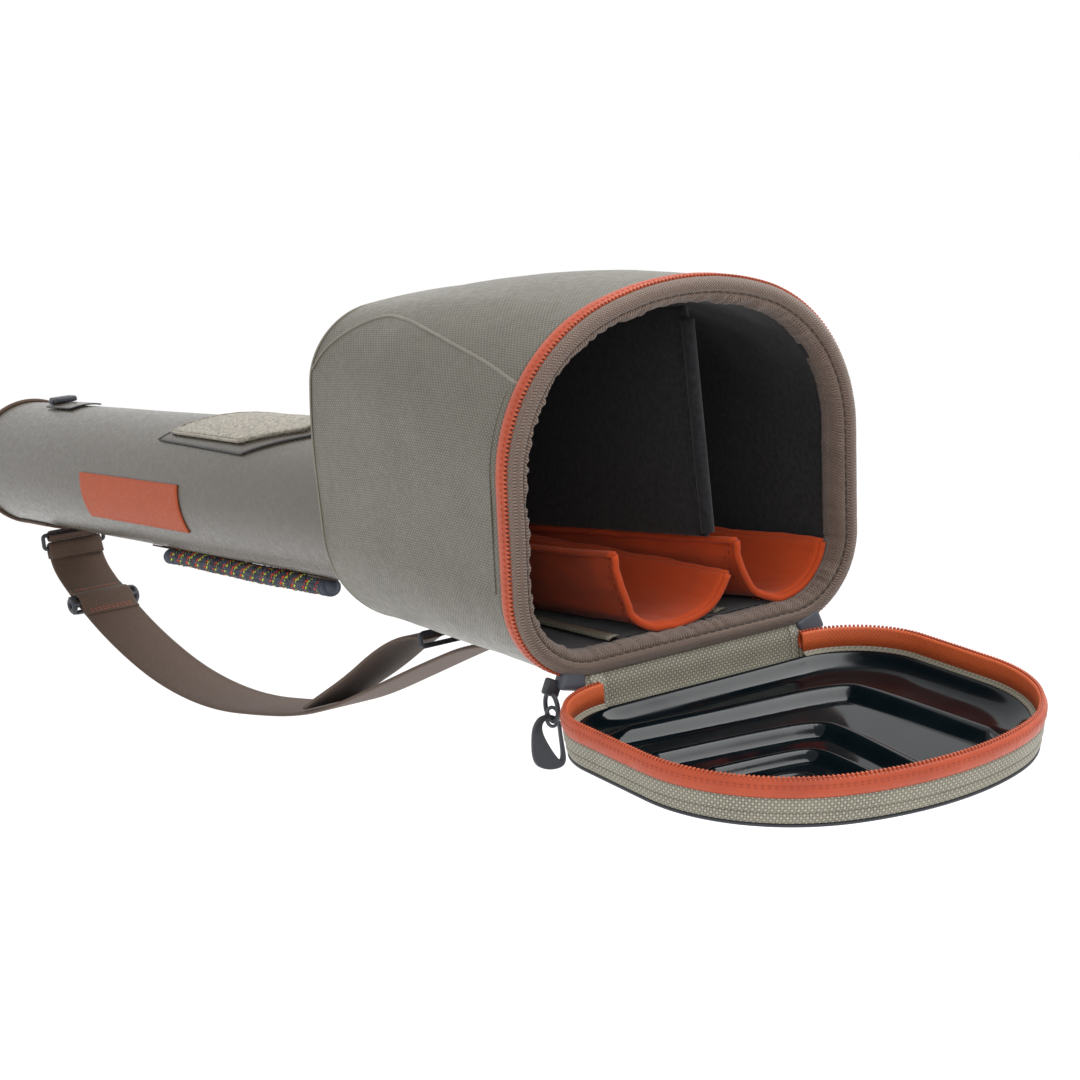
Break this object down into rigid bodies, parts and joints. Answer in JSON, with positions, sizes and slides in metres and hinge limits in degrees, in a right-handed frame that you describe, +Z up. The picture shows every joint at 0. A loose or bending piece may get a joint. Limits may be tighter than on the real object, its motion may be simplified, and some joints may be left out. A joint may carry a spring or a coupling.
{
  "type": "rod case",
  "caption": "Round rod tube that opens into an arched reel box with a zipped drop-down door, padded cradles, a divider, a rope grab handle and a shoulder strap.",
  "frame": {"origin": "centre of the flat underside of the reel box", "axes": "+X along the tube towards the door, +Z up"},
  "size_m": [0.9368, 0.1806, 0.2467],
  "materials": {
    "outer_cloth": "coated ballistic weave",
    "rust_trim": "smooth coated tape",
    "zip_coil": "moulded nylon coil",
    "brown_binding": "herringbone tape",
    "black_lining": "matt brushed cloth over foam",
    "black_shell": "moulded",
    "tray_gloss": "vacuum formed",
    "pale_felt": "felted loop pile",
    "slate_plastic": "fine grain",
    "brown_webbing": "ribbed webbing",
    "rope_yarn": "braided, with coloured tracers"
  },
  "bodies": {
    "case": {"box_base_hem": "brown_binding", "box_base_panel": "outer_cloth", "box_lining": "black_lining", "box_rear_panel": "outer_cloth", "box_side_panel_far": "outer_cloth", "box_side_panel_near": "outer_cloth", "box_top_panel": "outer_cloth", "box_zip_coil": "zip_coil", "box_zip_tape": "rust_trim", "cradle_base": "black_lining", "label_plate": "rust_trim", "lash_hook_front": "slate_plastic", "lash_hook_rear": "slate_plastic", "lash_tab_front": "brown_webbing", "lash_tab_rear": "brown_webbing", "loop_patch": "pale_felt", "opening_binding": "brown_binding", "patch_backing": "brown_binding", "reel_box_shell": "black_shell", "reel_divider": "black_lining", "rod_cradle_far": "rust_trim", "rod_cradle_near": "rust_trim", "rod_tube_liner": "black_shell", "rope_handle": "rope_yarn", "rope_socket_front": "brown_webbing", "rope_socket_rear": "brown_webbing", "strap_patch_front": "brown_webbing", "strap_patch_rear": "brown_webbing", "strap_rivet": "slate_plastic", "strap_sewn_end": "brown_webbing", "tube_cover": "outer_cloth", "tube_end_cap": "outer_cloth", "tube_end_pad": "black_shell", "zip_end_tab_far": "slate_plastic", "zip_end_tab_near": "slate_plastic"},
    "door": {"door_band": "outer_cloth", "door_hinge_panel": "outer_cloth", "door_panel": "outer_cloth", "door_tray": "tray_gloss", "door_wall": "rust_trim", "door_zip_coil": "zip_coil", "door_zip_tape": "rust_trim"},
    "zip_slider": {"zip_slider": "slate_plastic"},
    "zip_pull_ring": {"zip_pull_ring": "slate_plastic"},
    "zip_pull_tab": {"zip_pull_tab": "slate_plastic"},
    "strap": {"shoulder_strap": "brown_webbing", "strap_return": "brown_webbing", "strap_ring_rear": "slate_plastic", "strap_ring_front": "slate_plastic"},
    "strap_tri_glide": {"strap_tri_glide": "slate_plastic"}
  },
  "joints": [
    {"name": "door_hinge", "type": "hinge", "parent": "case", "child": "door", "pos_m": [0.1012, 0, -0.0012], "axis": [0, -1, 0], "range_deg": [0, 90]},
    {"name": "slider_round_corner", "type": "hinge", "parent": "case", "child": "zip_slider", "pos_m": [0.096, -0.052, 0.038], "axis": [0.9934, 0, -0.1144], "range_deg": [-60, 0]},
    {"name": "pull_ring_swing", "type": "hinge", "parent": "zip_slider", "child": "zip_pull_ring", "pos_m": [0.096, -0.0732, -0.0031], "axis": [1, 0, 0], "range_deg": [-50, 50]},
    {"name": "pull_tab_swing", "type": "hinge", "parent": "zip_pull_ring", "child": "zip_pull_tab", "pos_m": [0.096, -0.0732, -0.0151], "axis": [1, 0, 0], "range_deg": [-25, 25]},
    {"name": "strap_swing", "type": "hinge", "parent": "case", "child": "strap", "pos_m": [-0.36, 0, -0.002], "axis": [1, 0, 0], "range_deg": [-12, 12]},
    {"name": "tri_glide_slide", "type": "slide", "parent": "strap", "child": "strap_tri_glide", "axis": [0.9048, 0, -0.4258], "range_m": [-0.005, 0.005]}
  ]
}
